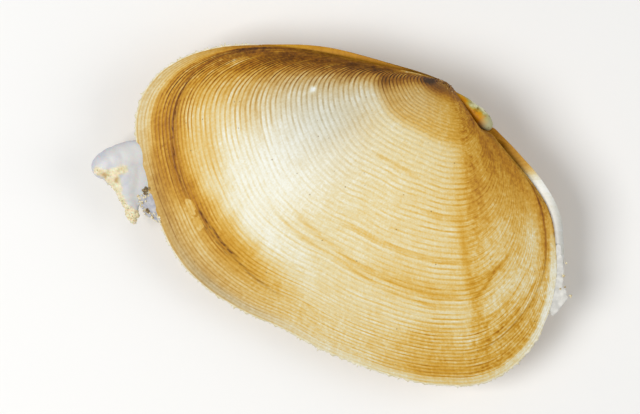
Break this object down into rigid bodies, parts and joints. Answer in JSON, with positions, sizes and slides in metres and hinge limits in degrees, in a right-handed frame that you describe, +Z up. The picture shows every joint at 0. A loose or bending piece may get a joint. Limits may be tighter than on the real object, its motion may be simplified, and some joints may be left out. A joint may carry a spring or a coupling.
{
  "type": "venus clam shell",
  "caption": "Closed clam shell lying on its right valve: ridged oval halves, horny ligament, and dried foot and mantle tissue caught at the ends.",
  "frame": {"origin": "middle of the bottom of the bounding box, on the surface on which the shell lies", "axes": "+X along the shell towards its rear, siphon end, +Y towards the hinge, +Z up, out of the left valve"},
  "size_m": [0.0406, 0.0254, 0.0118],
  "materials": {
    "upper_shell": "worn satin shell, cream and ochre growth bands",
    "lower_shell": "stained satin shell, ochre growth bands",
    "ligament_horn": "dried horny band, satin",
    "foot_tissue": "dried pale tissue, waxy",
    "mantle_tissue": "thin glassy dried skin"
  },
  "bodies": {
    "root": {"left_valve": "upper_shell", "right_valve": "lower_shell", "ligament": "ligament_horn", "foot": "foot_tissue", "mantle_shred": "mantle_tissue"}
  },
  "joints": []
}
